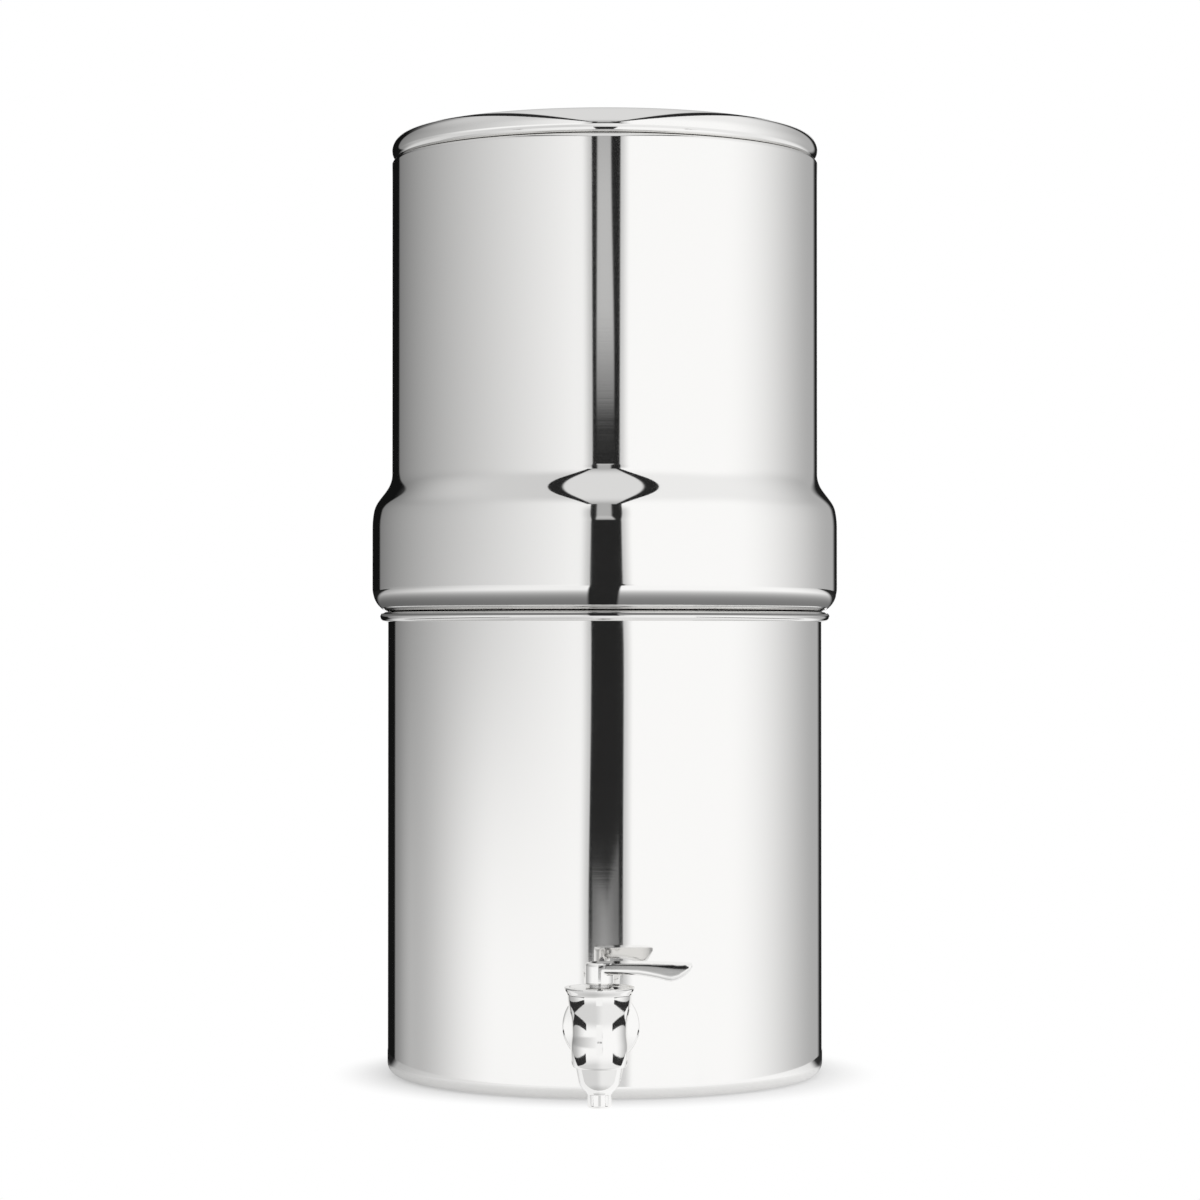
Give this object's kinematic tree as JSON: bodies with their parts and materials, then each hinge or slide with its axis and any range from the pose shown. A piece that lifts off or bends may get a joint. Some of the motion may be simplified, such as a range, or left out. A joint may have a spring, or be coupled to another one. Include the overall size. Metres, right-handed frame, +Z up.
{
  "type": "gravity water filter with tap",
  "caption": "Polished steel gravity water filter: nested round chambers with a stepped bulge at the joint, a loose domed lid and a quarter-turn tap with a side lever.",
  "frame": {"origin": "middle of the base, on the surface that the vessel stands on", "axes": "+Z up along the vessel's axis, -Y toward the tap, +X to the right when the tap faces the viewer"},
  "size_m": [0.2316, 0.2799, 0.4688],
  "materials": {
    "polished_steel": "mirror-polished stainless steel",
    "tap_steel": "polished stainless steel",
    "plain_steel": "bright turned or pressed stainless steel",
    "dark_steel": "hardened steel",
    "carbon_block": "pressed carbon, fine grained",
    "black_plastic": "satin moulded plastic",
    "seal_rubber": "plain rubber"
  },
  "bodies": {
    "base": {"lower_chamber": "polished_steel", "tap_body": "tap_steel", "tap_bonnet": "tap_steel", "tap_nozzle": "tap_steel", "nozzle_oring": "seal_rubber", "outer_gasket": "seal_rubber", "inner_gasket": "seal_rubber", "lock_nut": "plain_steel", "inlet_seal": "seal_rubber"},
    "upper": {"upper_chamber": "polished_steel", "filter_block_left": "carbon_block", "filter_block_right": "carbon_block", "filter_cap_left": "black_plastic", "filter_cap_right": "black_plastic", "filter_base_left": "black_plastic", "filter_base_right": "black_plastic", "filter_washers": "seal_rubber", "filter_wing_nuts": "black_plastic", "hole_plugs": "black_plastic", "plug_washers": "seal_rubber", "plug_nuts": "black_plastic"},
    "lid": {"lid_cover": "polished_steel", "lid_ring": "plain_steel"},
    "lever": {"valve_plug": "plain_steel", "valve_orings": "seal_rubber", "lever_handle": "tap_steel", "lever_grub_screw": "dark_steel"}
  },
  "joints": [
    {"name": "upper_lift", "type": "slide", "parent": "base", "child": "upper", "axis": [0, 0, 1], "range_m": [0, 0.08]},
    {"name": "lid_lift", "type": "slide", "parent": "upper", "child": "lid", "axis": [0, 0, 1], "range_m": [0, 0.05]},
    {"name": "lever_turn", "type": "hinge", "parent": "base", "child": "lever", "pos_m": [0, -0.148, 0.068], "axis": [0, 0, -1], "range_deg": [0, 90]}
  ]
}
